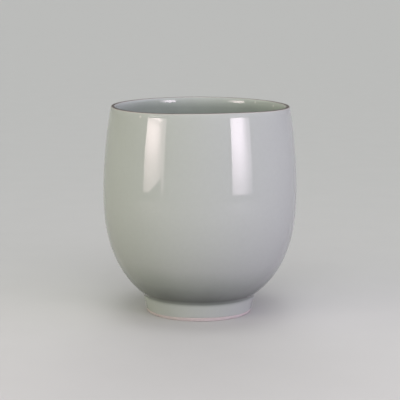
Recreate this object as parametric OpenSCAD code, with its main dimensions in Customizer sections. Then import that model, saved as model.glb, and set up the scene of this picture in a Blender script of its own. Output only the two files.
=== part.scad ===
// Footed pot for brushes: a thrown clay bowl on a luted foot ring, glazed inside and out.
// Every piece is turned about the Z axis. The pot stands on z = 0 and opens upwards.

/* [Pot] */
// Height from the table to the top of the lip
pot_height = 110; // [96:0.5:150]
// Outside diameter at the widest place of the belly
belly_diameter = 102.2; // [88:0.2:130]
// Height of the widest place above the table
belly_height = 64.2; // [46:0.2:84]
// How far the lip stands in from the widest place of the belly, on each side
mouth_inset = 3.95; // [2.6:0.05:12]
// Roundness of the wall above the belly: 2 is an ellipse, more is squarer
shoulder_fullness = 1.75; // [1.3:0.01:2.6]
// Roundness of the wall below the belly: 2 is an ellipse, more is squarer
lower_fullness = 2.35; // [2.1:0.01:3.2]

/* [Wall] */
// Thickness of the lip, glaze included
lip_thickness = 2; // [1.4:0.1:4]
// Thickness of the wall at the belly, glaze included
wall_thickness = 4.2; // [3:0.1:5.8]
// Thickness of the floor above the top of the foot, glaze included
floor_thickness = 5.5; // [3:0.1:10]
// Roundness of the inside below the belly: 2 is an ellipse, more is squarer
cavity_fullness = 2.6; // [2:0.01:3]

/* [Foot] */
// Height of the foot, from the table to the corner under the belly
foot_height = 9.8; // [6:0.1:14]
// Outside diameter of the foot at the corner under the belly
foot_top_diameter = 60; // [52:0.2:70]
// Outside diameter of the foot at the table
foot_bottom_diameter = 55.6; // [50:0.2:66]
// Diameter of the hollow under the foot, at the table
recess_mouth_diameter = 46; // [30:0.2:50]
// Diameter of the hollow under the foot, at its top
recess_top_diameter = 43; // [26:0.2:48]
// Width of the bevels on the bare edge that touches the table
foot_bevel = 0.3; // [0.1:0.1:1.2]
// Thickness of the seam of slip between the foot ring and the floor
slip_thickness = 0.4; // [0.2:0.1:1]

/* [Glaze] */
// Thickness of the glaze outside
outer_glaze_thickness = 0.4; // [0.2:0.05:0.8]
// Thickness of the glaze inside
inner_glaze_thickness = 0.5; // [0.2:0.05:0.8]
// Thickness of the glaze under the floor
base_glaze_thickness = 0.4; // [0.2:0.05:1]
// Thickness of the glaze at the top of the lip
rim_glaze_thickness = 0.2; // [0.1:0.05:0.6]
// Height of the bare clay edge above the table
bare_edge_height = 2; // [1.6:0.1:4]
// How far the pooled glaze reaches to both sides of a corner
pool_reach = 1.4; // [0.4:0.1:2]

/* [Hidden] */

// Segments of each curve of the wall
curve_steps = 28;
// Segments of the lip's rounding
lip_steps = 16;
// Segments of each small bend
bend_steps = 6;
// Segments of a full turn
turn_steps = 128;

clay_colour = [0.86, 0.79, 0.74];
slip_colour = [0.82, 0.75, 0.69];
glaze_colour = [0.70, 0.72, 0.69];
rim_colour = [0.60, 0.52, 0.48];

mouth_diameter = belly_diameter - 2 * mouth_inset;
lip_radius = lip_thickness / 2;
lip_centre = [mouth_diameter / 2 - lip_radius, pot_height - lip_radius];
cavity_floor = foot_height + floor_thickness;
seam_height = foot_height - slip_thickness;

function reversed(points) = [for (i = [len(points) - 1 : -1 : 0]) points[i]];

function without_first(points) = [for (i = [1 : len(points) - 1]) points[i]];

function without_ends(points) = [for (i = [1 : len(points) - 2]) points[i]];

// A curve that leaves its widest radius upright and would reach the end radius at the end height.
// It is drawn as far as the stop height.
function fullness_curve(widest, start_height, end_radius, end_height, fullness, stop_height) =
    let (share = end_radius / widest)
    let (reach = (end_height - start_height) / pow(1 - pow(share, fullness), 1 / fullness))
    let (last_turn = asin(pow((stop_height - start_height) / reach, fullness / 2)))
    [for (i = [0 : curve_steps])
        let (turn = last_turn * i / curve_steps)
        [widest * pow(cos(turn), 2 / fullness), start_height + reach * pow(sin(turn), 2 / fullness)]];

// A smooth bend from one point to another, pulled towards the corner between them
function bend(from, corner, to) =
    [for (i = [0 : bend_steps])
        let (t = i / bend_steps)
        pow(1 - t, 2) * from + 2 * t * (1 - t) * corner + pow(t, 2) * to];

// The outside from the lip to the stop height below the belly, set in by the given depth
function outside(depth, stop_height) =
    let (widest = belly_diameter / 2 - depth)
    let (lip_end = mouth_diameter / 2 - depth)
    let (foot_end = foot_top_diameter / 2 - depth)
    concat(
        reversed(fullness_curve(widest, belly_height, lip_end, lip_centre[1], shoulder_fullness, lip_centre[1])),
        without_first(fullness_curve(widest, belly_height, foot_end, foot_height, lower_fullness, stop_height)));

// The inside from the lip to the middle of the floor, set back into the wall by the given depth
function inside(depth) =
    let (widest = belly_diameter / 2 - wall_thickness + depth)
    let (lip_end = mouth_diameter / 2 - lip_thickness + depth)
    let (floor_end = cavity_floor - depth)
    concat(
        reversed(fullness_curve(widest, belly_height, lip_end, lip_centre[1], shoulder_fullness, lip_centre[1])),
        without_first(fullness_curve(widest, belly_height, 0, floor_end, cavity_fullness, floor_end)));

// The glaze on the lip thins from the full coat at both sides to a film on top
function lip_film(angle) =
    let (coat = angle < 90 ? outer_glaze_thickness : inner_glaze_thickness)
    rim_glaze_thickness + (coat - rim_glaze_thickness) * (1 - sin(angle));

// The rounding of the lip from the outside to the inside, on the glaze or on the clay under it
function lip(on_clay) =
    [for (i = [0 : lip_steps])
        let (angle = 180 * i / lip_steps)
        let (radius = lip_radius - (on_clay ? lip_film(angle) : 0))
        lip_centre + radius * [cos(angle), sin(angle)]];

// A point of the foot's glazed outer face at a height
function foot_glaze_point(height) =
    [(foot_bottom_diameter + (foot_top_diameter - foot_bottom_diameter) * height / foot_height) / 2, height];

// A point of the foot's clay at a height
function foot_clay_point(height) = foot_glaze_point(height) - [outer_glaze_thickness, 0];

// A point of the clay around the hollow under the foot at a height
function recess_point(height) =
    [(recess_mouth_diameter + (recess_top_diameter - recess_mouth_diameter) * height / foot_height) / 2, height];

module turned(points) {
    rotate_extrude($fn = turn_steps)
        polygon(points);
}

module clay_body() {
    color(clay_colour)
        turned(concat(
            outside(outer_glaze_thickness, foot_height),
            [[0, foot_height]],
            reversed(inside(inner_glaze_thickness)),
            without_ends(reversed(lip(true)))));
}

module foot_ring() {
    bevel = [foot_bevel, 0];
    color(clay_colour)
        turned([
            foot_clay_point(seam_height),
            foot_clay_point(foot_bevel),
            foot_clay_point(0) - bevel,
            recess_point(0) + bevel,
            recess_point(foot_bevel),
            recess_point(seam_height)]);
}

module luting_slip() {
    color(slip_colour)
        turned([
            foot_clay_point(foot_height),
            foot_clay_point(seam_height),
            recess_point(seam_height),
            recess_point(foot_height)]);
}

module outer_glaze() {
    face = outside(0, foot_height + pool_reach);
    pool = bend(
        face[len(face) - 1],
        foot_glaze_point(foot_height),
        foot_glaze_point(foot_height - pool_reach));
    rolled_edge = bend(
        foot_glaze_point(bare_edge_height + outer_glaze_thickness),
        foot_glaze_point(bare_edge_height),
        foot_clay_point(bare_edge_height));
    color(glaze_colour)
        turned(concat(
            face,
            without_first(pool),
            rolled_edge,
            reversed(outside(outer_glaze_thickness, foot_height))));
}

module rim_glaze() {
    color(rim_colour)
        turned(concat(lip(false), reversed(lip(true))));
}

module inner_glaze() {
    color(glaze_colour)
        turned(concat(inside(0), reversed(inside(inner_glaze_thickness))));
}

module base_glaze() {
    ceiling = foot_height - base_glaze_thickness;
    coat = [base_glaze_thickness, 0];
    rolled_edge = bend(
        recess_point(bare_edge_height),
        recess_point(bare_edge_height) - coat,
        recess_point(bare_edge_height + base_glaze_thickness) - coat);
    pool = bend(
        recess_point(ceiling - pool_reach) - coat,
        recess_point(ceiling) - coat,
        recess_point(ceiling) - coat - [pool_reach, 0]);
    color(glaze_colour)
        turned(concat(
            [[0, foot_height], recess_point(foot_height)],
            rolled_edge,
            pool,
            [[0, ceiling]]));
}

clay_body();
foot_ring();
luting_slip();
outer_glaze();
rim_glaze();
inner_glaze();
base_glaze();
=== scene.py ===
"""Footed brush pot: glaze over turned clay, on a pale floor in soft studio light."""
import math

import bmesh
import bpy
import numpy as np
from mathutils import Matrix, Vector


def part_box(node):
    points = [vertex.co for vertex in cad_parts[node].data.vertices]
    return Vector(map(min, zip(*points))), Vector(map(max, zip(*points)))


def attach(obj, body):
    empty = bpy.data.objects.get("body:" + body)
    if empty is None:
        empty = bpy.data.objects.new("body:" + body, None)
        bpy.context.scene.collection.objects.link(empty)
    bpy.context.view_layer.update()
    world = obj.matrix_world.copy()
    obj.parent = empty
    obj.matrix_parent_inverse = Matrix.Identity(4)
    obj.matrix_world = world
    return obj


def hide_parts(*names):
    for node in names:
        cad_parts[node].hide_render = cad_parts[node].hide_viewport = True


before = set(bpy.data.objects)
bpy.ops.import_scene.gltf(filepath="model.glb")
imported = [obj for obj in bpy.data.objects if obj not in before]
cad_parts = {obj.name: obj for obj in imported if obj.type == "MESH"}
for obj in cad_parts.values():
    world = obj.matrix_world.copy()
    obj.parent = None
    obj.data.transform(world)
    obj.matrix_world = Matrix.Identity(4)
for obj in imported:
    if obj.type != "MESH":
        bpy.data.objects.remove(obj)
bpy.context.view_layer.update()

MM = 0.001
scene = bpy.context.scene


def widest(node):
    """The largest distance of a node's points from the axis, and the height of that place."""
    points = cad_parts[node].data.vertices
    far = max(points, key=lambda v: math.hypot(v.co.x, v.co.y))
    return math.hypot(far.co.x, far.co.y), far.co.z


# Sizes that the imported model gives, in metres
belly_radius, belly_height = widest("outer_glaze")
mouth_radius = widest("rim_glaze")[0]
foot_clay_top = widest("luting_slip")[0]
pot_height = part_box("rim_glaze")[1].z
lip_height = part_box("rim_glaze")[0].z
foot_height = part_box("luting_slip")[1].z
seam_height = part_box("luting_slip")[0].z
bare_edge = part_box("outer_glaze")[0].z
clay_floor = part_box("inner_glaze")[0].z

# Sizes that repeat the source of the solids, in metres
shoulder_fullness = 1.75
lower_fullness = 2.35
cavity_fullness = 2.6
lip_thickness = 2.0 * MM
wall_thickness = 4.2 * MM
outer_coat = 0.4 * MM
inner_coat = 0.5 * MM
base_coat = 0.4 * MM
foot_bottom = 27.8 * MM
recess_mouth = 23.0 * MM
recess_top = 21.5 * MM
foot_bevel = 0.3 * MM
pool_reach = 1.4 * MM

# Sizes that follow from those
foot_top = foot_clay_top + outer_coat
inner_mouth = mouth_radius - lip_thickness
inner_belly = belly_radius - wall_thickness
cavity_floor = clay_floor + inner_coat
clay_corner = np.array([foot_clay_top, foot_height])

# Lip: how far below the top its rounding starts, its narrow flat top, and the thicker wall inside
lip_start_outside = 1.3 * MM
lip_start_inside = 7.0 * MM
lip_top_outer = mouth_radius - 0.85 * MM
lip_top_inner = mouth_radius - 1.95 * MM
inside_swell = 1.00 * MM

# How far the curves of the lip's rounding are pulled straight on at their lower and upper ends
lower_pull_outside = 0.50 * lip_start_outside
lower_pull_inside = 0.60 * lip_start_inside
upper_pull_outside = 0.52 * MM
upper_pull_inside = 0.50 * MM

# Faint crease under the lip: places below the top, the depth at each, and the band with finer rows
crease_places = np.array([lip_start_outside, 1.55 * MM, 2.28 * MM])
crease_depths = np.array([0.070, 0.062, 0.0]) * MM
fine_band = 4.0 * MM

# Film of glaze on the lip: its thickness, the length over which it grows to the full coat, and how
# squarely the surface faces up where it is thinnest
lip_film = 0.04 * MM
film_reach = 2.0 * MM
facing_up_least = 0.92

# Glaze pooled in the corner above the foot and, more thinly, around it: added thickness and its reach.
# Around the corner it is partly painted shade, darkening the colour where the body meets the foot
pool_depth = 0.50 * MM
pool_radius = 2.2 * MM
corner_pool_and_shade = 0.13 * MM
corner_reach_up = 9.0 * MM
corner_reach_down = 4.5 * MM

# Glaze pooled in the corner under the floor
base_pool_depth = 0.45 * MM
base_pool_radius = 3.2 * MM

# Glaze that has run down, and painted shade, which darken the colour inside below the lip and low on the
# body: added thickness, and the places between which it grows to that, measured down from the top
# inside, and as heights and along the wall from the corner outside
inside_run_and_shade = 0.27 * MM
inside_run_and_shade_grows = (1 * MM, 6 * MM)
outside_run_and_shade = 0.475 * MM
outside_run_and_shade_grows = (36 * MM, 12 * MM)
corner_run_and_shade_grows = (-0.3 * MM, 2.1 * MM)

# Foot ring: bare clay set in from the glazed face, the bend up to it, and the turned grooves below
bare_set_in = np.array([0.10 * MM, 0])
bend_start = bare_edge + 0.50 * MM
bend_end = bare_edge - 0.25 * MM
groove_count = 8
groove_steps = 6
groove_depth = 0.020 * MM

# Foot: how far it stands to the left of the pot's axis, and the height over which the pot leans there
foot_offset = 0.30 * MM
lean_height = 14 * MM

# Waves of the glaze's lower edge: height in millimetres, count around the foot, and phase
edge_waves = ((0.06, 3, 0.4), (0.05, 7, 2.0), (0.03, 17, 0.0))

# Throwing spiral on the floor inside: it grows around the middle and fades out towards the wall
spiral_depth = 0.035 * MM
spiral_pitch = 6.5 * MM
spiral_start = 3 * MM
spiral_reach = 26 * MM
spiral_top = cavity_floor + 12 * MM

# Ripples in the glaze under the floor, which grow around the middle
ripple_depth = 0.02 * MM
ripple_spacing = 4.6 * MM
ripple_start = 6 * MM

# Segments of a full turn, for the pieces in the photograph and for the others
turns = 256
hidden_turns = 192

# Points closer than this are the same point
same_place = 1e-7


def smooth(value, start=0.0, end=1.0):
    """A smooth step from 0 at the start to 1 at the end."""
    share = np.clip((value - start) / (end - start), 0.0, 1.0)
    return share * share * (3 - 2 * share)


def fullness_curve(widest_radius, start, end_radius, end, fullness, steps, stop=None):
    """Radius and height from the widest place towards the end, as the source draws them."""
    stop = end if stop is None else stop
    share = end_radius / widest_radius
    reach = (end - start) / (1 - share ** fullness) ** (1 / fullness)
    last_turn = math.asin(min(1.0, ((stop - start) / reach) ** (fullness / 2)))
    turn = np.linspace(0, last_turn, steps + 1)
    radius = widest_radius * np.clip(np.cos(turn), 0, 1) ** (2 / fullness)
    height = start + reach * np.sin(turn) ** (2 / fullness)
    return np.column_stack([radius, height])


def bezier(points, steps):
    """A Bezier curve with the given control points."""
    t = np.linspace(0, 1, steps + 1)[:, None]
    points = [np.asarray(p, float) for p in points]
    while len(points) > 1:
        points = [(1 - t) * a + t * b for a, b in zip(points, points[1:])]
    return points[0]


def straight(start, end, steps):
    """Points along a straight line."""
    return np.linspace(start, end, steps + 1)


def joined(*curves):
    """Curves end to end, with each shared point kept once."""
    out = [curves[0]]
    for curve in curves[1:]:
        shared = np.linalg.norm(curve[0] - out[-1][-1]) < same_place
        out.append(curve[1:] if shared else curve)
    return np.vstack(out)


def foot_face(height):
    """A point of the foot's glazed outer face."""
    share = height / foot_height
    return np.array([foot_bottom + (foot_top - foot_bottom) * share, height])


def foot_clay(height):
    """A point of the foot's clay under its glaze."""
    return foot_face(height) - [outer_coat, 0]


def recess_face(height):
    """A point of the clay around the hollow under the foot."""
    share = height / foot_height
    return np.array([recess_mouth + (recess_top - recess_mouth) * share, height])


def recess_glaze(height):
    """A point of the glaze around the hollow under the foot."""
    return recess_face(height) - [base_coat, 0]


def at_heights(curve, heights):
    """The points of a rising curve at the given heights."""
    return np.column_stack([np.interp(heights, curve[:, 1], curve[:, 0]), heights])


def cut_at(curve, height):
    """The part of a rising curve up to a height, ending exactly there."""
    return np.vstack([curve[curve[:, 1] < height - same_place], at_heights(curve, [height])])


def first_at(curve, height):
    """Number of the first point that is at least this high."""
    return int(np.argmax(curve[:, 1] >= height))


def last_at(curve, height):
    """Number of the last point that is at least this high."""
    return len(curve) - 1 - first_at(curve[::-1], height)


def heading(curve):
    """Unit direction at the end of a curve."""
    step = curve[-1] - curve[-2]
    return step / np.linalg.norm(step)


def left_normals(curve):
    """Unit normals on the left of a curve's direction."""
    direction = np.gradient(curve, axis=0)
    direction /= np.linalg.norm(direction, axis=1)[:, None]
    return np.column_stack([-direction[:, 1], direction[:, 0]])


def lengths(curve):
    """Length along a curve at each of its points."""
    steps = np.linalg.norm(np.diff(curve, axis=0), axis=1)
    return np.concatenate([[0.0], np.cumsum(steps)])


def edge_build_up(count):
    """Share of the full coat along a rolled edge: all of it after the first third."""
    return smooth(np.linspace(0.0, 1.0, count), 0.0, 1 / 3)


# The wall outside, with the crease under the lip
upper_line = fullness_curve(
    belly_radius, belly_height, mouth_radius, lip_height, shoulder_fullness, steps=600)
fine_start = pot_height - fine_band
row_heights = np.concatenate([
    straight(belly_height, fine_start, steps=50)[:-1],
    straight(fine_start, lip_height, steps=30)])
upper_outside = at_heights(upper_line, row_heights)
upper_outside[:, 0] -= np.interp(pot_height - row_heights, crease_places, crease_depths)
lower_outside = fullness_curve(
    belly_radius, belly_height, foot_top, foot_height, lower_fullness,
    steps=100, stop=foot_height + pool_reach)

# The wall inside, which grows thicker towards the lip
upper_inside = fullness_curve(
    inner_belly, belly_height, inner_mouth, lip_height, shoulder_fullness, steps=64)
upper_inside[:, 0] -= inside_swell * smooth(upper_inside[:, 1], belly_height, pot_height)
lower_inside = fullness_curve(
    inner_belly, belly_height, 0.0, cavity_floor, cavity_fullness, steps=130)

# The lip: rounded outside, narrow and flat on top, and rounded into the thicker wall inside
outside_rise = cut_at(upper_outside, pot_height - lip_start_outside)
inside_rise = cut_at(upper_inside, pot_height - lip_start_inside)
top_outer = np.array([lip_top_outer, pot_height])
top_inner = np.array([lip_top_inner, pot_height])
lip_outside = bezier([
    outside_rise[-1],
    outside_rise[-1] + heading(outside_rise) * lower_pull_outside,
    top_outer + [upper_pull_outside, 0],
    top_outer], steps=28)
lip_top = straight(top_outer, top_inner, steps=6)
lip_inside = bezier([
    top_inner,
    top_inner - [upper_pull_inside, 0],
    inside_rise[-1] + heading(inside_rise) * lower_pull_inside,
    inside_rise[-1]], steps=44)

# The foot, with glaze rolled up at its lower edge and pooled in the corner above it
rolled_edge = bezier(
    [foot_clay(bare_edge), foot_face(bare_edge), foot_face(bare_edge + outer_coat)], steps=12)
foot_rise = straight(
    foot_face(bare_edge + outer_coat), foot_face(foot_height - pool_reach), steps=23)
pool = bezier([foot_rise[-1], foot_face(foot_height), lower_outside[-1]], steps=20)

# One line from the edge of the glaze on the foot, over the lip, to the middle of the floor
shown = joined(
    rolled_edge, foot_rise, pool, lower_outside[::-1], outside_rise,
    lip_outside, lip_top, lip_inside, inside_rise[::-1], lower_inside)
shown_height = shown[:, 1]
along = lengths(shown)
inside = np.arange(len(shown)) > np.argmax(shown_height)

# Numbers of its points where the film on the lip starts and ends, and where the wall is widest
rim_start = first_at(shown, lip_height)
rim_end = last_at(shown, lip_height)
outside_belly = first_at(shown, belly_height)
inside_belly = last_at(shown, belly_height)

# Thickness of the glaze along that line: a film on the top of the lip, where the surface faces up
facing_up = -left_normals(shown)[:, 1]
# Where the lip's top faces up the film is thinnest and turns dark brown, partly as painted shade
top_face = along[(facing_up > facing_up_least) & (shown_height > lip_height)]
full_coat = np.where(inside, inner_coat, outer_coat)
away = np.maximum(0, np.maximum(top_face[0] - along, along - top_face[-1]))
run_off = np.clip(away / film_reach, 0, 1)
coat = lip_film + (full_coat - lip_film) * (1 - (1 - run_off) ** 3)

# The clay under the glaze
under = shown + left_normals(shown) * coat[:, None]
clay_lower = fullness_curve(
    belly_radius - outer_coat, belly_height, foot_clay_top, foot_height, lower_fullness, steps=60)
clay_inside = fullness_curve(
    inner_belly + inner_coat, belly_height, 0.0, clay_floor, cavity_fullness, steps=70)

# Thickness that sets the colour: more in the corner above the foot, and where glaze has run down. Apart
# from the pool in the corner, what is added is partly painted shade
to_corner = np.linalg.norm(shown - clay_corner, axis=1)
pooled = np.clip(1 - to_corner / pool_radius, 0, 1)
pooled_coat = np.where(pooled > 0, np.maximum(coat, outer_coat + pool_depth * pooled), coat)
pool_middle = len(rolled_edge) + len(foot_rise) - 2 + len(pool) // 2
from_corner = along - along[pool_middle]
# Around the corner: pooled glaze and painted shade, which darken the glaze's colour
out_of_reach = np.maximum(from_corner / corner_reach_up, -from_corner / corner_reach_down)
pool_and_shade_around_corner = corner_pool_and_shade * (1 - smooth(out_of_reach))
run_and_shade_inside = inside_run_and_shade * smooth(pot_height - shown_height, *inside_run_and_shade_grows)
low_on_body = smooth(shown_height, *outside_run_and_shade_grows)
above_corner = smooth(from_corner, *corner_run_and_shade_grows)
run_and_shade_outside = outside_run_and_shade * low_on_body * above_corner
tone = pooled_coat + pool_and_shade_around_corner + np.where(inside, run_and_shade_inside, run_and_shade_outside)
tone[:len(rolled_edge)] = outer_coat * edge_build_up(len(rolled_edge))


def patch(angle, middle, width):
    """A soft patch on the way round: 1 in its middle, fading to both sides."""
    return np.exp(-((angle - middle) / width) ** 2)


def swing(angle, depth, count, phase=0.0):
    """A wave on the way round, from 0 to twice its depth."""
    return depth * (1 + np.cos(count * angle + phase))


def settle(radius, height, angle):
    """Slight unevenness of a pot turned by hand. It only moves points inwards."""
    ring_phase = height / (3.1 * MM) + 0.5 * np.sin(angle)
    rings = 0.006 * MM * (1 + np.sin(ring_phase))
    oval = swing(angle, depth=0.012 * MM, count=2, phase=0.7)
    three = swing(angle, depth=0.008 * MM, count=3, phase=height / (40 * MM) - 1.1)
    above_foot = smooth(height, foot_height, foot_height + 12 * MM)
    off_axis = smooth(radius, 0.0, 20 * MM)
    return radius - (rings + oval + three) * above_foot * off_axis


def dip(height, angle):
    """How far the lip dips: at its left and right ends, most at the front left, least at front right."""
    least = 0.27 * MM
    ends = swing(angle, depth=0.23 * MM, count=2) + swing(angle, depth=0.02 * MM, count=3, phase=0.4)
    front = swing(angle, depth=0.015 * MM, count=1, phase=np.pi / 2)
    front_left = 0.42 * MM * patch(angle, middle=4.0, width=0.7)
    front_right = 0.22 * MM * patch(angle, middle=5.05, width=0.55)
    above_belly = smooth(height, belly_height, pot_height)
    return above_belly * (least + ends + front + front_left - front_right)


def foot_shift(height):
    """How far the pot is moved to the left: all the way at the foot, and not at all on the body."""
    return foot_offset * (1 - smooth(height, foot_height, foot_height + lean_height))


def inside_painted_shade(height, angle):
    """Painted shade under the lip inside, at the back left and, less, at the back right: extra thickness
    that darkens the colour there.
    """
    below = pot_height - height
    band = smooth(below, 1.0 * MM, 1.8 * MM) * (1 - smooth(below, 1.0 * MM, 7.0 * MM))
    back_left = 0.24 * MM * patch(angle, middle=2.40, width=0.50)
    back_right = 0.11 * MM * patch(angle, middle=0.85, width=0.45)
    return band * (back_left + back_right)


def outside_painted_light(height, angle):
    """Painted light low on the right of the body: a little less thickness, which makes the colour lighter
    there.
    """
    band = smooth(height, 10.8 * MM, 13.8 * MM) * (1 - smooth(height, 22 * MM, 36 * MM))
    return -0.10 * MM * band * patch(angle, middle=5.33, width=0.45)


def same_all_round(height, angle):
    """The same glaze all the way round."""
    return np.zeros(len(angle))


def wavy_foot_edge(radius, height, angle):
    """The lower edge of the glaze on the foot runs up and down, and is highest at the front."""
    lowered = 0.50 * MM
    waves = sum(wave * MM * np.sin(count * angle + phase) for wave, count, phase in edge_waves)
    front = 0.42 * MM * patch(angle, middle=4.85, width=0.5)
    above_table = smooth(height, foot_bevel, foot_bevel + 0.9 * MM)
    edge_top = bare_edge + outer_coat
    near_edge = 1 - smooth(height, edge_top, edge_top + 2.5 * MM)
    lift = (waves + front - lowered) * above_table * near_edge
    outer_lean = (foot_top - foot_bottom) / foot_height
    inner_lean = (recess_top - recess_mouth) / foot_height
    lean = np.where(radius > (foot_bottom + recess_mouth) / 2, outer_lean, inner_lean)
    return radius + lift * lean, height + lift


def floor_spiral(radius, height, angle):
    """A faint throwing spiral on the floor inside."""
    wave = 1 + np.sin(2 * np.pi * radius / spiral_pitch - angle)
    share = smooth(radius, 0.0, spiral_start) * (1 - smooth(radius, 0.0, spiral_reach))
    return radius, height + np.where(height < spiral_top, spiral_depth * wave * share, 0.0)


def as_drawn(radius, height, angle):
    """No change to the points of a turn."""
    return radius, height


def turn_of(radius, height, angle, shape):
    """The places that one point of a profile takes on its way round."""
    radius, height = shape(np.full(len(angle), radius), np.full(len(angle), height), angle)
    radius = settle(radius, height, angle)
    height = height - dip(height, angle)
    return np.column_stack([
        radius * np.cos(angle) - foot_shift(height), radius * np.sin(angle), height])


def faces_between(rows):
    """Faces between neighbouring rows of points, with three sides where a row is a single point."""
    faces = []
    for row, next_row in zip(rows, rows[1:]):
        for i in range(len(row)):
            j = (i + 1) % len(row)
            face = tuple(dict.fromkeys((row[i], row[j], next_row[j], next_row[i])))
            if len(face) > 2:
                faces.append(face)
    return faces


def add_object(name, data):
    """A new object in the scene."""
    made = bpy.data.objects.new(name, data)
    scene.collection.objects.link(made)
    return made


def smooth_piece(name, points, faces, coat_and_shade_values, sharp_degrees):
    """A smooth-shaded piece with the glaze's thickness, in millimetres, on each point, with painted shade
    and light in places.
    """
    mesh = bpy.data.meshes.new(name)
    mesh.from_pydata(points, [], faces)
    # The coat attribute sets the glaze's colour, and in places carries painted shade and painted light
    layer = mesh.attributes.new("coat", "FLOAT", "POINT")
    layer.data.foreach_set("value", np.asarray(coat_and_shade_values, np.float32) / MM)
    work = bmesh.new()
    work.from_mesh(mesh)
    bmesh.ops.recalc_face_normals(work, faces=work.faces)
    work.to_mesh(mesh)
    work.free()
    mesh.polygons.foreach_set("use_smooth", [True] * len(mesh.polygons))
    mesh.set_sharp_from_angle(angle=math.radians(sharp_degrees))
    mesh.update()
    return add_object(name, mesh)


def lathe(name, loop, coats_and_shade, sharp_degrees=35, shape=as_drawn, runs=same_all_round, count=turns):
    """A closed piece turned about the axis from a loop of points that may begin and end on it."""
    all_round = 2 * np.pi * np.arange(count) / count
    on_axis = loop[:, 0] < same_place
    rows, points, coat_and_shade_values = [], [], []
    for (radius, height), pole, thickness in zip(loop, on_axis, coats_and_shade):
        angle = np.zeros(1) if pole else all_round
        first = len(points)
        points.extend(turn_of(radius, height, angle, shape).tolist())
        # The runs add painted shade inside and painted light outside to the coat that sets the colour
        coat_and_shade_values.extend(thickness + runs(height, angle))
        rows.append([first] * count if pole else list(range(first, first + count)))
    if not (on_axis[0] and on_axis[-1]):
        rows.append(rows[0])
    return smooth_piece(name, points, faces_between(rows), coat_and_shade_values, sharp_degrees)


def loop_of(front, back, front_tone):
    """A closed loop from a front line and the line behind it, with the thickness, and in places painted
    shade, at each point.
    """
    back_tone = np.full(len(back), outer_coat)
    return np.vstack([front, back[::-1]]), np.concatenate([front_tone, back_tone])


# Outer glaze, from the foot to the lip
outer_part = slice(0, rim_start + 1)
clay_rise = joined(
    np.array([foot_clay(bare_edge), clay_corner]), clay_lower[::-1], under[outside_belly:rim_start + 1])
outer_loop, outer_loop_tone = loop_of(shown[outer_part], clay_rise[1:], tone[outer_part])
outer_glaze = lathe(
    "outer_glaze_coat", outer_loop, outer_loop_tone, shape=wavy_foot_edge, runs=outside_painted_light)

# Film of glaze over the lip
rim_part = slice(rim_start, rim_end + 1)
rim_loop, rim_loop_tone = loop_of(shown[rim_part], under[rim_part], tone[rim_part])
rim_glaze = lathe("rim_glaze_film", rim_loop, rim_loop_tone)

# Inner glaze, from the lip to the middle of the floor
clay_fall = joined(under[rim_end:inside_belly], clay_inside)
inner_loop, inner_loop_tone = loop_of(shown[rim_end:], clay_fall, tone[rim_end:])
inner_glaze = lathe(
    "inner_glaze_coat", inner_loop, inner_loop_tone, shape=floor_spiral, runs=inside_painted_shade)

# Clay of the wall and floor
clay_loop = joined(
    np.array([[0.0, foot_height], clay_corner]), clay_lower[::-1],
    under[outside_belly:inside_belly], clay_inside)
clay_body = lathe("clay_wall_and_floor", clay_loop, np.zeros(len(clay_loop)), count=hidden_turns)

# Seam of slip under the floor
slip_loop = np.array([
    clay_corner,
    foot_clay(seam_height),
    recess_face(seam_height),
    recess_face(foot_height)])
luting_slip = lathe("luting_slip_seam", slip_loop, np.zeros(len(slip_loop)), count=hidden_turns)

# Foot ring: clay under the glaze, bare clay below it, and grooves on the face that meets the table
outer_low = foot_face(0.0) - bare_set_in - [foot_bevel / 2, 0]
inner_low = recess_face(0.0) + [foot_bevel, 0]
glazed_wall = straight(foot_clay(seam_height), foot_clay(bend_start), steps=9)
bare_wall = straight(foot_face(bend_end), foot_face(foot_bevel), steps=7) - bare_set_in
wall_bend = bezier([glazed_wall[-1], foot_clay(bare_edge), bare_wall[0]], steps=8)
inner_wall = straight(recess_face(2 * foot_bevel), recess_face(seam_height), steps=13)
outer_round = bezier([bare_wall[-1], foot_face(0.0) - bare_set_in, outer_low], steps=8)
inner_round = bezier([inner_low, recess_face(0.0), inner_wall[0]], steps=8)
groove_radius = straight(outer_low[0], inner_low[0], steps=groove_count * groove_steps)
groove_place = np.arange(len(groove_radius)) / groove_steps
uneven_depth = groove_depth * (0.6 + 0.4 * np.sin(1.7 * groove_place))
grooves = np.column_stack([groove_radius, uneven_depth * (1 - np.cos(2 * np.pi * groove_place))])
ring_loop = joined(
    glazed_wall, wall_bend, bare_wall, outer_round, grooves, inner_round, inner_wall)
foot_ring = lathe(
    "foot_ring_clay", ring_loop, np.zeros(len(ring_loop)), sharp_degrees=50, shape=wavy_foot_edge)

# Glaze under the floor, rolled at its lower edge and pooled in its corner
ceiling = foot_height - base_coat
base_roll = bezier(
    [recess_face(bare_edge), recess_glaze(bare_edge), recess_glaze(bare_edge + base_coat)], steps=10)
base_wall = straight(base_roll[-1], recess_glaze(ceiling - pool_reach), steps=13)
base_pool = bezier(
    [base_wall[-1], recess_glaze(ceiling), recess_glaze(ceiling) - [pool_reach, 0]], steps=14)
flat_radius = straight(base_pool[-1][0], 0.0, steps=39)
ripple = ripple_depth * (1 - np.cos(2 * np.pi * flat_radius / ripple_spacing))
off_middle = smooth(flat_radius, 0.0, ripple_start)
base_flat = np.column_stack([flat_radius, ceiling + ripple * off_middle])
base_front = joined(base_roll, base_wall, base_pool, base_flat)
base_back = joined(
    straight(recess_face(bare_edge), recess_face(foot_height), steps=13),
    np.array([recess_face(foot_height), [0.0, foot_height]]))
base_tone = np.full(len(base_front), base_coat)
base_tone[:len(base_roll)] = base_coat * edge_build_up(len(base_roll))
to_base_corner = np.linalg.norm(base_front - recess_face(foot_height), axis=1)
base_tone += base_pool_depth * (1 - smooth(to_base_corner, 0.0, base_pool_radius))
base_loop, base_loop_tone = loop_of(base_front, base_back[1:], base_tone)
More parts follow.
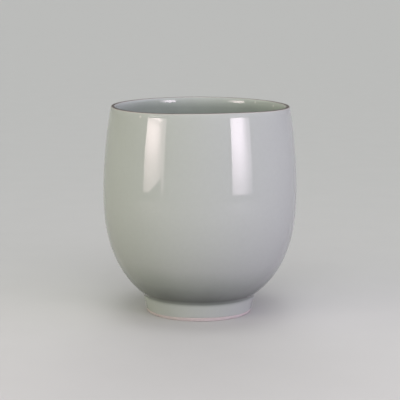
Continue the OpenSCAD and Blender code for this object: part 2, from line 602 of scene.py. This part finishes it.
base_glaze = lathe(
    "base_glaze_coat", base_loop, base_loop_tone, shape=wavy_foot_edge, count=hidden_turns)

# Painted highlights: small pale spots in the glaze's colour near the lip, one outside and two inside,
# standing in for glints off tiny bumps in the glaze
painted_glint_spots = (
    (-30.0 * MM, -36.8 * MM, 107.1 * MM),
    (29.8 * MM, 32.8 * MM, 108.1 * MM),
    (39.0 * MM, 20.8 * MM, 107.2 * MM))
painted_glint_radius = 1.1 * MM

# Colours as they are written, in linear light
celadon = (0.441, 0.469, 0.448)
thin_celadon = (0.490, 0.452, 0.438)
# Brown of the thinnest film on the lip's top: partly clay showing through, partly painted shade
lip_brown_and_shade = (0.120, 0.100, 0.088)
pooled_celadon = (0.351, 0.383, 0.358)
# Deeper glazes, darkened further as painted shade above the foot, low on the body and inside
deep_celadon_and_shade = (0.186, 0.209, 0.193)
corner_celadon_and_shade = (0.106, 0.120, 0.110)
glaze_speck = (0.235, 0.215, 0.175)
# Painted highlight colour of the small glints near the lip
painted_glint_colour = (0.630, 0.610, 0.585)
clay_pink = (0.590, 0.523, 0.525)
clay_dust = (0.545, 0.476, 0.475)
clay_flash = (0.480, 0.385, 0.350)
clay_speck = (0.23, 0.16, 0.12)
# Painted shade where the foot meets the table
table_edge_shade = (0.40, 0.33, 0.30)
slip_pale = (0.55, 0.455, 0.42)
slip_dark = (0.48, 0.395, 0.36)
floor_pale = (0.56, 0.56, 0.555)
floor_fibre = tuple(0.985 * level for level in floor_pale)
floor_thrown = (0.03, 0.03, 0.03)

# Colour of the glaze at each thickness, in millimetres. The thinnest, brown stop and the two darkest
# stops are partly painted shade
glaze_colours = (
    (0.08, lip_brown_and_shade),
    (0.125, thin_celadon),
    (0.33, celadon),
    (0.46, celadon),
    (0.75, pooled_celadon),
    (1.00, deep_celadon_and_shade),
    (1.30, corner_celadon_and_shade))
thickest_glaze = 1.5


def empty_tree(owner):
    """The node tree of a material or world, with nothing in it."""
    owner.use_nodes = True
    owner.node_tree.nodes.clear()
    return owner.node_tree


def add_node(tree, kind, **settings):
    """A new node, with inputs and properties set by name."""
    made = tree.nodes.new(kind)
    for key, value in settings.items():
        if key in made.inputs:
            made.inputs[key].default_value = value
        else:
            setattr(made, key, value)
    return made


def new_material(name):
    """An empty node material with its shader."""
    made = bpy.data.materials.new(name)
    tree = empty_tree(made)
    shader = add_node(tree, "ShaderNodeBsdfPrincipled")
    output = add_node(tree, "ShaderNodeOutputMaterial")
    tree.links.new(shader.outputs["BSDF"], output.inputs["Surface"])
    return made, tree, shader


def object_place(tree):
    """The place on the object."""
    return add_node(tree, "ShaderNodeTexCoord").outputs["Object"]


def apart(tree, vector):
    """The three values of a vector, by name."""
    made = add_node(tree, "ShaderNodeSeparateXYZ")
    tree.links.new(vector, made.inputs["Vector"])
    return made.outputs


def grey(value):
    """A colour without hue."""
    return (value, value, value)


def ramp(tree, source, stops):
    """A colour ramp with the given places and colours."""
    made = add_node(tree, "ShaderNodeValToRGB")
    band = made.color_ramp
    while len(band.elements) < len(stops):
        band.elements.new(0.5)
    for element, (place, colour) in zip(band.elements, stops):
        element.position = place
        element.color = (*colour, 1.0)
    tree.links.new(source, made.inputs["Fac"])
    return made.outputs["Color"]


def grey_ramp(tree, source, stops):
    """A ramp without hue, with the given places and levels."""
    return ramp(tree, source, [(place, grey(level)) for place, level in stops])


def noise(tree, place, scale, detail=2.0, roughness=0.5):
    """Soft noise at a place."""
    made = add_node(tree, "ShaderNodeTexNoise", Scale=scale, Detail=detail, Roughness=roughness)
    tree.links.new(place, made.inputs["Vector"])
    return made.outputs["Fac"]


def map_range(tree, source, to_low, to_high, from_low=0.3, from_high=0.7, interpolation="LINEAR"):
    """A value mapped from one range to another. Unless it is given, the first is noise's usual range."""
    made = add_node(tree, "ShaderNodeMapRange", interpolation_type=interpolation)
    made.inputs["From Min"].default_value = from_low
    made.inputs["From Max"].default_value = from_high
    made.inputs["To Min"].default_value = to_low
    made.inputs["To Max"].default_value = to_high
    tree.links.new(source, made.inputs["Value"])
    return made.outputs["Result"]


def calculate(tree, operation, first, second):
    """One step of arithmetic on values or sockets."""
    made = add_node(tree, "ShaderNodeMath", operation=operation)
    for number, value in enumerate((first, second)):
        if isinstance(value, (int, float)):
            made.inputs[number].default_value = value
        else:
            tree.links.new(value, made.inputs[number])
    return made.outputs["Value"]


def blend(tree, share, first, second, mode="MIX"):
    """Two colours, given as colours or sockets, mixed by a share."""
    made = add_node(tree, "ShaderNodeMix", data_type="RGBA", blend_type=mode)
    wanted = {"Factor_Float": share, "A_Color": first, "B_Color": second}
    for socket in made.inputs:
        value = wanted.get(socket.identifier)
        if value is None:
            continue
        if isinstance(value, (int, float)):
            socket.default_value = value
        elif isinstance(value, tuple):
            socket.default_value = (*value, 1.0)
        else:
            tree.links.new(value, socket)
    return next(socket for socket in made.outputs if socket.identifier == "Result_Color")


def multiply(tree, first, second):
    """The product of two colours."""
    return blend(tree, 1.0, first, second, "MULTIPLY")


def bump(tree, height, strength, distance, under_normal=None):
    """A normal that follows a small height, on top of another normal where one is given."""
    made = add_node(tree, "ShaderNodeBump", Strength=strength, Distance=distance)
    tree.links.new(height, made.inputs["Height"])
    if under_normal is not None:
        tree.links.new(under_normal, made.inputs["Normal"])
    return made.outputs["Normal"]


def dome(tree, place, spot, radius):
    """A value that rises smoothly from 0 at a radius to 1 over a spot."""
    gap = add_node(tree, "ShaderNodeVectorMath", operation="DISTANCE")
    tree.links.new(place, gap.inputs[0])
    gap.inputs[1].default_value = spot
    return map_range(
        tree, gap.outputs["Value"], to_low=1.0, to_high=0.0,
        from_low=0.0, from_high=radius, interpolation="SMOOTHSTEP")


def specks(tree, place, scale, core, edge, strength):
    """Scattered round specks, as a share that fades from a core to an edge."""
    cells = add_node(tree, "ShaderNodeTexVoronoi", Scale=scale)
    tree.links.new(place, cells.inputs["Vector"])
    spots = grey_ramp(tree, cells.outputs["Distance"], [(core, 1.0), (edge, 0.0)])
    return calculate(tree, "MULTIPLY", spots, strength)


def glaze_material(name):
    """Celadon over pink clay: the coat's thickness, with painted shade and light in places, sets its
    colour; pale spots are painted highlights.
    """
    made, tree, shader = new_material(name)
    place = object_place(tree)
    thickness = add_node(tree, "ShaderNodeAttribute", attribute_name="coat").outputs["Fac"]
    cloud = noise(tree, place, scale=42.0, detail=3.0, roughness=0.55)
    drift = map_range(tree, cloud, to_low=-0.035, to_high=0.035)
    uneven = calculate(tree, "ADD", thickness, drift)
    share = calculate(tree, "DIVIDE", uneven, thickest_glaze)
    colour = ramp(tree, share, [(depth / thickest_glaze, shade) for depth, shade in glaze_colours])
    fine = map_range(tree, noise(tree, place, scale=520.0, roughness=0.6), 0.0, 1.0)
    colour = multiply(tree, colour, grey_ramp(tree, fine, [(0.0, 0.978), (1.0, 1.0)]))
    faint = specks(tree, place, scale=95.0, core=0.012, edge=0.022, strength=0.35)
    colour = blend(tree, faint, colour, glaze_speck)
    # Painted highlights: pale spots near the lip
    for spot in painted_glint_spots:
        colour = blend(tree, dome(tree, place, spot, painted_glint_radius), colour, painted_glint_colour)
    tree.links.new(colour, shader.inputs["Base Color"])
    gloss = map_range(tree, noise(tree, place, scale=24.0), to_low=0.025, to_high=0.055)
    dry = map_range(tree, uneven, to_low=0.50, to_high=0.0, from_low=0.08, from_high=0.14)
    tree.links.new(calculate(tree, "ADD", gloss, dry), shader.inputs["Roughness"])
    peel = noise(tree, place, scale=260.0, detail=1.0)
    tree.links.new(bump(tree, peel, strength=0.20, distance=0.02 * MM), shader.inputs["Normal"])
    shader.inputs["IOR"].default_value = 1.5
    return made


def clay_material(name, base, dark):
    """Fired bare clay: grain, specks, turning lines, and painted shade at the table edge."""
    made, tree, shader = new_material(name)
    place = object_place(tree)
    grain = noise(tree, place, scale=1500.0, detail=3.0, roughness=0.65)
    cloud = noise(tree, place, scale=160.0, detail=3.0, roughness=0.6)
    colour = ramp(tree, map_range(tree, cloud, 0.0, 1.0), [(0.0, dark), (1.0, base)])
    dusty = grey_ramp(tree, map_range(tree, grain, 0.0, 1.0), [(0.0, 0.90), (1.0, 1.0)])
    colour = multiply(tree, colour, dusty)
    dark_specks = specks(tree, place, scale=420.0, core=0.06, edge=0.11, strength=0.45)
    colour = blend(tree, dark_specks, colour, clay_speck)
    height = apart(tree, place)["Z"]
    # Painted shade: the clay darker towards the table
    near_table_shade = map_range(
        tree, height, to_low=0.12, to_high=0.0, from_low=0.0, from_high=0.3 * MM)
    colour = blend(tree, near_table_shade, colour, table_edge_shade)
    near_glaze = map_range(
        tree, height, to_low=0.0, to_high=0.20,
        from_low=bare_edge - 0.6 * MM, from_high=bare_edge + 0.2 * MM)
    colour = blend(tree, near_glaze, colour, clay_flash)
    tree.links.new(colour, shader.inputs["Base Color"])
    matte = map_range(tree, grain, to_low=0.62, to_high=0.80)
    tree.links.new(matte, shader.inputs["Roughness"])
    flattened = add_node(tree, "ShaderNodeMapping", Scale=(30.0, 30.0, 3200.0))
    tree.links.new(place, flattened.inputs["Vector"])
    lines = noise(tree, flattened.outputs["Vector"], scale=1.0)
    turned = bump(tree, lines, strength=0.35, distance=0.03 * MM)
    grained = bump(tree, grain, strength=0.5, distance=0.04 * MM, under_normal=turned)
    tree.links.new(grained, shader.inputs["Normal"])
    return made


celadon_glaze = glaze_material("celadon_glaze")
thin_rim_glaze = glaze_material("thin_rim_glaze")
bare_clay = clay_material("bare_clay", clay_pink, clay_dust)
dried_slip = clay_material("dried_slip", slip_pale, slip_dark)

dressing = [
    (outer_glaze, "outer_glaze", "celadon_glaze", celadon_glaze),
    (rim_glaze, "rim_glaze", "thin_rim_glaze", thin_rim_glaze),
    (inner_glaze, "inner_glaze", "celadon_glaze", celadon_glaze),
    (base_glaze, "base_glaze", "celadon_glaze", celadon_glaze),
    (clay_body, "clay_body", "bare_clay", bare_clay),
    (foot_ring, "foot_ring", "bare_clay", bare_clay),
    (luting_slip, "luting_slip", "dried_slip", dried_slip)]
for piece, node, slot, material in dressing:
    piece.data.materials.append(material)
    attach(piece, "root")
    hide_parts(node)


def looked_at(tree):
    """1 for what the camera, a reflection or clear glass sees, 0 for light that is thrown on things."""
    rays = add_node(tree, "ShaderNodeLightPath").outputs
    seen = calculate(tree, "MAXIMUM", rays["Is Camera Ray"], rays["Is Glossy Ray"])
    return calculate(tree, "MAXIMUM", seen, rays["Is Transmission Ray"])


def mix_shaders(tree, share, first, second):
    """Two shaders mixed by a share."""
    made = add_node(tree, "ShaderNodeMixShader")
    tree.links.new(share, made.inputs["Fac"])
    tree.links.new(first, made.inputs[1])
    tree.links.new(second, made.inputs[2])
    return made.outputs["Shader"]


def floor_material():
    """Paper that is pale to look at, throws little light back, and is clear from below."""
    made = bpy.data.materials.new("pale_floor")
    tree = empty_tree(made)
    fibres = noise(tree, object_place(tree), scale=35.0, detail=3.0)
    paper = ramp(tree, map_range(tree, fibres, 0.0, 1.0), [(0.0, floor_fibre), (1.0, floor_pale)])
    seen = add_node(tree, "ShaderNodeBsdfDiffuse")
    tree.links.new(paper, seen.inputs["Color"])
    thrown = add_node(tree, "ShaderNodeBsdfDiffuse", Color=(*floor_thrown, 1.0))
    above = mix_shaders(tree, looked_at(tree), thrown.outputs["BSDF"], seen.outputs["BSDF"])
    clear = add_node(tree, "ShaderNodeBsdfTransparent").outputs["BSDF"]
    from_below = add_node(tree, "ShaderNodeNewGeometry").outputs["Backfacing"]
    output = add_node(tree, "ShaderNodeOutputMaterial")
    tree.links.new(mix_shaders(tree, from_below, above, clear), output.inputs["Surface"])
    return made


# Floor, open inside the foot ring so that the hollow there isn't black when it is seen from below
floor_radius = 30.0
floor_opening = foot_bottom - 1.0 * MM
floor_height = -0.1 * MM
floor_sides = 64
floor_points = [
    (radius * math.cos(a) - foot_shift(0.0), radius * math.sin(a), floor_height)
    for radius in (floor_opening, floor_radius)
    for a in 2 * np.pi * np.arange(floor_sides) / floor_sides]
inner_row = list(range(floor_sides))
outer_row = list(range(floor_sides, 2 * floor_sides))
floor_mesh = bpy.data.meshes.new("floor")
floor_mesh.from_pydata(floor_points, [], faces_between([outer_row, inner_row]))
floor_mesh.materials.append(floor_material())
floor = add_object("floor", floor_mesh)

# Low soft light all round: tint from left to right, and levels from front to back and from below up
side_tints = ((0.0, (0.83, 0.95, 0.53)), (0.5, (0.95, 1.02, 0.89)), (1.0, (1.40, 1.31, 1.70)))
back_levels = ((0.0, 1.0), (0.5, 2.73), (0.62, 1.35), (1.0, 0.41))
height_levels = (
    (0.0, 0.45), (0.45, 0.45), (0.50, 1.90), (0.56, 0.46),
    (0.63, 0.40), (0.725, 0.21), (0.85, 0.09), (1.0, 0.03))
world_level = 0.97
level_reach = 0.9

# Wide soft patches of light: height in degrees, side, focus and strength. Side -1 is above the camera
# and side 1 is opposite it.
light_patches = ((38.0, -1, 10.5, 3.03), (30.0, 1, 12.0, 2.9), (90.0, 1, 40.0, 4.2))

# Level of the plain background that the camera and reflections see
background_level = 0.57


def light_patch(tree, direction, height, side, focus, strength):
    """A soft round patch of light in the world."""
    aim = math.radians(height)
    towards = add_node(tree, "ShaderNodeVectorMath", operation="DOT_PRODUCT")
    towards.inputs[1].default_value = (0.0, side * math.cos(aim), math.sin(aim))
    tree.links.new(direction, towards.inputs[0])
    facing = calculate(tree, "MAXIMUM", towards.outputs["Value"], 0.0)
    return calculate(tree, "MULTIPLY", calculate(tree, "POWER", facing, focus), strength)


def studio_world():
    """Soft light on the object, and a plain pale background to look at."""
    made = bpy.data.worlds.new("studio")
    tree = empty_tree(made)
    direction = add_node(tree, "ShaderNodeTexCoord").outputs["Generated"]
    parts = apart(tree, direction)
    rightwards = map_range(tree, parts["X"], 0.0, 1.0, from_low=-level_reach, from_high=level_reach)
    backwards = map_range(tree, parts["Y"], 0.0, 1.0, from_low=-level_reach, from_high=level_reach)
    upwards = map_range(tree, parts["Z"], 0.0, 1.0, from_low=-1.0, from_high=1.0)
    tint = ramp(tree, rightwards, side_tints)
    back = grey_ramp(tree, backwards, back_levels)
    height = grey_ramp(tree, upwards, height_levels)
    light = multiply(tree, tint, multiply(tree, back, height))
    for settings in light_patches:
        light = blend(tree, 1.0, light, light_patch(tree, direction, *settings), "ADD")
    soft_light = add_node(tree, "ShaderNodeBackground", Strength=world_level)
    tree.links.new(light, soft_light.inputs["Color"])
    plain = add_node(tree, "ShaderNodeBackground", Color=(*floor_pale, 1.0), Strength=background_level)
    either = mix_shaders(
        tree, looked_at(tree), soft_light.outputs["Background"], plain.outputs["Background"])
    output = add_node(tree, "ShaderNodeOutputWorld")
    tree.links.new(either, output.inputs["Surface"])
    return made


scene.world = studio_world()

# Soft boxes: distance from the axis in metres, the share of the height that is panel, and the dim
# strip above that
box_distance = 0.5
panel_share = 0.853
strip_edge = 0.006
strip_level = 0.22

# Levels across a panel, of its bright core and of the dim band along one edge
core_across = (
    (0.0, 0.70), (0.10, 0.85), (0.25, 0.97), (0.35, 1.0), (0.50, 0.95),
    (0.58, 0.84), (0.66, 0.52), (0.76, 0.22), (0.84, 0.0))
band_across = ((0.52, 0.0), (0.60, 0.08), (0.72, 0.22), (0.80, 0.28), (1.0, 0.26))

# Levels up a panel, of the dim band and of the core in the left and right boxes
band_up = ((0.0, 0.45), (0.19, 0.62), (0.286, 0.80), (0.43, 1.0))
left_core_up = (
    (0.0, 0.28), (0.19, 0.375), (0.42, 0.56), (0.648, 0.91), (0.78, 1.0),
    (0.86, 0.97), (0.885, 0.70), (0.915, 0.70), (0.94, 1.5), (1.0, 1.5))
right_core_up = (
    (0.0, 0.33), (0.184, 0.45), (0.406, 0.72), (0.627, 0.95), (0.754, 1.0),
    (0.915, 1.0), (0.938, 0.78), (0.956, 0.78), (0.972, 1.25), (1.0, 1.25))

# Lower corner of a panel that is cut off along a slope: where across the panel the cut starts, how
# soft its edge is, and where across the band it ends again
cut_start = 0.27
cut_edge = (-0.008, 0.010)
cut_end = ((0.85, 0.0), (0.89, 1.0))


def panel_light(tree, core_up, cut_slope):
    """The light of a panel: a core that fades downwards, a dim band beside it and a strip above it."""
    parametric = add_node(tree, "ShaderNodeNewGeometry").outputs["Parametric"]
    parts = apart(tree, parametric)
    across, height = parts["X"], parts["Y"]
    up = calculate(tree, "DIVIDE", height, panel_share)
    cut = calculate(tree, "MULTIPLY", calculate(tree, "SUBTRACT", across, cut_start), cut_slope)
    uncut = map_range(tree, calculate(tree, "SUBTRACT", up, cut), 0.0, 1.0, *cut_edge)
    uncut_band = blend(tree, 1.0, uncut, grey_ramp(tree, across, cut_end), "LIGHTEN")
    core = multiply(tree, grey_ramp(tree, across, core_across), grey_ramp(tree, up, core_up))
    band = multiply(tree, grey_ramp(tree, across, band_across), grey_ramp(tree, up, band_up))
    panel = blend(
        tree, 1.0, multiply(tree, core, uncut), multiply(tree, band, uncut_band), "ADD")
    strip = grey_ramp(tree, height, [(panel_share, 1.0), (panel_share + strip_edge, strip_level)])
    return multiply(tree, panel, strip)


def softbox(name, azimuth, side, bottom, top, width, colour, radiance, core_up, cut_slope):
    """An upright panel of light that faces the pot's axis from an azimuth, moved a little to one side."""
    lamp = bpy.data.lights.new(name, "AREA")
    lamp.shape = "RECTANGLE"
    lamp.size = width
    lamp.size_y = top - bottom
    lamp.energy = radiance * math.pi * width * (top - bottom)
    lamp.color = colour
    lamp.use_nodes = True
    tree = lamp.node_tree
    tree.links.new(panel_light(tree, core_up, cut_slope), tree.nodes["Emission"].inputs["Color"])
    aim = math.radians(azimuth)
    outward = Vector((math.sin(aim), -math.cos(aim), 0))
    sideways = Vector((math.cos(aim), math.sin(aim), 0))
    box = add_object(name, lamp)
    box.location = outward * box_distance + sideways * side + Vector((0, 0, (bottom + top) / 2))
    box.rotation_mode = "QUATERNION"
    box.rotation_quaternion = (-outward).to_track_quat("-Z", "Y")
    box.visible_camera = False


softbox(
    "left_softbox", azimuth=-58.0, side=0.0405, bottom=0.0208, top=0.2219, width=0.226,
    colour=(1.0, 0.825, 0.83), radiance=11.75, core_up=left_core_up, cut_slope=0.40)
softbox(
    "right_softbox", azimuth=49.6, side=-0.0130, bottom=0.0195, top=0.2329, width=0.217,
    colour=(1.01, 0.88, 0.99), radiance=11.85, core_up=right_core_up, cut_slope=0.0)

# Camera at the photograph's angle, in metres and radians
camera_place = Vector((0.00002, -0.7200, 0.1786))
camera_pitch = 0.1645
camera_roll = 0.0045
camera = bpy.data.cameras.new("camera")
camera.sensor_fit = "HORIZONTAL"
camera.sensor_width = 36.0
camera.lens = 123.98
camera.clip_start = 0.01
camera.clip_end = 100.0
eye = add_object("camera", camera)
scene.camera = eye
level_right = Vector((1, 0, 0))
level_up = Vector((0, math.sin(camera_pitch), math.cos(camera_pitch)))
backward = Vector((0, -math.cos(camera_pitch), math.sin(camera_pitch)))
camera_right = level_right * math.cos(camera_roll) + level_up * math.sin(camera_roll)
camera_up = level_up * math.cos(camera_roll) - level_right * math.sin(camera_roll)
camera_turn = Matrix((camera_right, camera_up, backward)).transposed().to_4x4()
eye.matrix_world = Matrix.Translation(camera_place) @ camera_turn

scene.view_settings.view_transform = "Standard"
